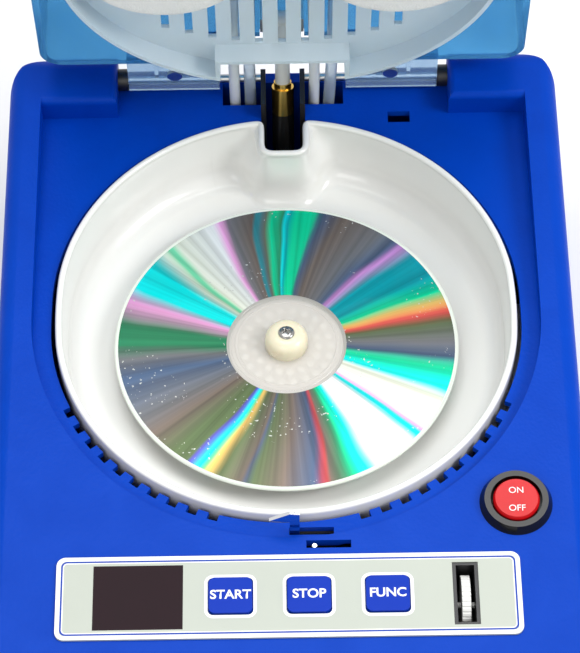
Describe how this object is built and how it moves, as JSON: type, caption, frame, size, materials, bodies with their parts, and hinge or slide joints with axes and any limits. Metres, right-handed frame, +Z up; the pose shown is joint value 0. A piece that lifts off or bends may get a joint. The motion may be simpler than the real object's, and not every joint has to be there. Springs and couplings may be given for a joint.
{
  "type": "disc repair machine",
  "caption": "Desktop disc repair machine: blue sloped case with a wash bowl and spindle, key panel, power button and a hinged clear lid with two rotating polishing pads.",
  "frame": {"origin": "where the spindle's axis meets the plane that the feet stand on", "axes": "+Z up along the spindle, +Y to the hinge at the back, +X to the user's right"},
  "size_m": [0.198, 0.2732, 0.2696],
  "materials": {
    "case_blue": "textured satin blue ABS",
    "foot_rubber": "matt black",
    "screw_steel": "zinc plated",
    "bowl_white": "glossy white ABS",
    "chassis_steel": "galvanised sheet",
    "bearing_steel": "ground",
    "housing_metal": "cast",
    "motor_steel": "plated can",
    "belt_rubber": "matt",
    "board_green": "solder mask",
    "black_plastic": "satin black",
    "switch_black": "glossy black",
    "display_smoke": "smoked",
    "overlay_beige": "printed film",
    "key_blue": "printed film",
    "cap_red": "glossy red",
    "dial_white": "satin white",
    "turntable_white": "satin",
    "bead_white": "soft silicone",
    "knob_cream": "aged cream",
    "disc_mirror": "iridescent aluminised disc",
    "pulley_brass": "turned",
    "gland_brass": "turned",
    "strut_black": "gloss black",
    "rod_white": "pale sleeve",
    "lid_blue": "clear blue moulding",
    "tab_clear": "clear moulding",
    "cover_frost": "frosted moulding",
    "pad_felt": "white felt",
    "tank_natural": "natural polyethylene",
    "hose_white": "white silicone",
    "hose_clear": "clear vinyl",
    "lock_chrome": "bright plated"
  },
  "bodies": {
    "root": {"base_tray": "case_blue", "rubber_feet": "foot_rubber", "case_screws": "screw_steel", "top_case": "case_blue", "bowl": "bowl_white", "chassis_plate": "chassis_steel", "chassis_screws": "screw_steel", "spindle_housing": "housing_metal", "spindle_bearings": "bearing_steel", "shaft_seal": "foot_rubber", "drive_motor": "motor_steel", "drive_belt": "belt_rubber", "control_board": "board_green", "display_module": "black_plastic", "display_window": "display_smoke", "panel_overlay": "overlay_beige", "key_switches": "black_plastic", "dial_housing": "black_plastic", "power_switch_body": "switch_black", "hinge_pins": "bearing_steel", "hinge_bushes": "black_plastic", "strut_bracket": "chassis_steel", "strut_channel": "black_plastic", "power_inlet": "black_plastic", "fluid_tank": "tank_natural", "fluid_pump": "black_plastic", "white_hoses": "hose_white", "clear_hoses": "hose_clear", "lock_guide": "black_plastic", "lock_spring": "bearing_steel"},
    "spindle": {"spindle_shaft": "bearing_steel", "spindle_pulley": "black_plastic", "turntable": "turntable_white", "grip_beads": "bead_white", "centre_knob": "knob_cream", "knob_screw": "screw_steel", "optical_disc": "disc_mirror"},
    "motor_rotor": {"motor_pulley": "pulley_brass"},
    "lid": {"lid_shell": "lid_blue", "hinge_tabs": "tab_clear", "tab_screws": "screw_steel", "inner_cover": "cover_frost", "pad_motor": "motor_steel", "pad_belt": "belt_rubber", "strut_clevis": "chassis_steel", "lid_catch": "tab_clear"},
    "left_pad": {"left_pad": "pad_felt", "left_pad_hub": "black_plastic"},
    "right_pad": {"right_pad": "pad_felt", "right_pad_hub": "black_plastic"},
    "pad_rotor": {"pad_motor_pulley": "pulley_brass"},
    "strut_cylinder": {"strut_tube": "strut_black", "strut_gland": "gland_brass"},
    "strut_piston": {"strut_rod": "rod_white"},
    "start_key": {"start_key": "key_blue"},
    "stop_key": {"stop_key": "key_blue"},
    "func_key": {"func_key": "key_blue"},
    "power_button": {"power_button": "cap_red"},
    "speed_dial": {"speed_dial": "dial_white"},
    "lid_lock": {"lock_hook": "lock_chrome"}
  },
  "joints": [
    {"name": "motor_spin", "type": "hinge", "parent": "root", "child": "motor_rotor", "pos_m": [-0.052, 0, 0.012], "axis": [0, 0, 1], "continuous": true},
    {"name": "spindle_spin", "type": "hinge", "parent": "root", "child": "spindle", "pos_m": [0, 0, 0.0565], "axis": [0, 0, 1], "continuous": true},
    {"name": "lid_hinge", "type": "hinge", "parent": "root", "child": "lid", "pos_m": [0, 0.106, 0.0746], "axis": [1, 0, 0], "range_deg": [0, 82], "stiffness_Nm_per_rad": 0.09, "springref_deg": -34.38, "deforming": ["white_hoses", "clear_hoses"]},
    {"name": "pad_motor_spin", "type": "hinge", "parent": "lid", "child": "pad_rotor", "pos_m": [0, 0.07885, 0.20812], "axis": [0, 0.9903, 0.1392], "continuous": true},
    {"name": "left_pad_spin", "type": "hinge", "parent": "lid", "child": "left_pad", "pos_m": [-0.0395, 0.08449, 0.16801], "axis": [0, 0.9903, 0.1392], "continuous": true},
    {"name": "right_pad_spin", "type": "hinge", "parent": "lid", "child": "right_pad", "pos_m": [0.0395, 0.08449, 0.16801], "axis": [0, 0.9903, 0.1392], "continuous": true},
    {"name": "strut_swing", "type": "hinge", "parent": "root", "child": "strut_cylinder", "pos_m": [0, 0.08, 0.011], "axis": [1, 0, 0], "range_deg": [0, 19.04]},
    {"name": "strut_stroke", "type": "slide", "parent": "strut_cylinder", "child": "strut_piston", "axis": [0, 0.331, 0.9436], "range_m": [-0.02286, 0]},
    {"name": "start_press", "type": "slide", "parent": "root", "child": "start_key", "axis": [0, 0.0523, -0.9986], "range_m": [0, 0.0004], "stiffness_N_per_m": 600, "springref_m": -0.0008},
    {"name": "stop_press", "type": "slide", "parent": "root", "child": "stop_key", "axis": [0, 0.0523, -0.9986], "range_m": [0, 0.0004], "stiffness_N_per_m": 600, "springref_m": -0.0008},
    {"name": "func_press", "type": "slide", "parent": "root", "child": "func_key", "axis": [0, 0.0523, -0.9986], "range_m": [0, 0.0004], "stiffness_N_per_m": 600, "springref_m": -0.0008},
    {"name": "power_press", "type": "slide", "parent": "root", "child": "power_button", "axis": [0, 0.0523, -0.9986], "range_m": [0, 0.0025], "stiffness_N_per_m": 500, "springref_m": -0.001},
    {"name": "dial_turn", "type": "hinge", "parent": "root", "child": "speed_dial", "pos_m": [0.0566, -0.10827, 0.06169], "axis": [1, 0, 0], "range_deg": [-135, 135]},
    {"name": "lock_slide", "type": "slide", "parent": "root", "child": "lid_lock", "axis": [1, 0, 0], "range_m": [0, 0.009], "stiffness_N_per_m": 150, "springref_m": -0.004, "deforming": ["lock_spring"]}
  ],
  "couplings": [
    {"joint": "spindle_spin", "follows": "motor_spin", "ratio": 0.3125},
    {"joint": "left_pad_spin", "follows": "pad_motor_spin", "ratio": 0.33333},
    {"joint": "right_pad_spin", "follows": "pad_motor_spin", "ratio": 0.33333},
    {"joint": "strut_swing", "follows": "lid_hinge", "ratio": 0.22611},
    {"joint": "strut_stroke", "follows": "lid_hinge", "m_per_rad": -0.01562}
  ]
}
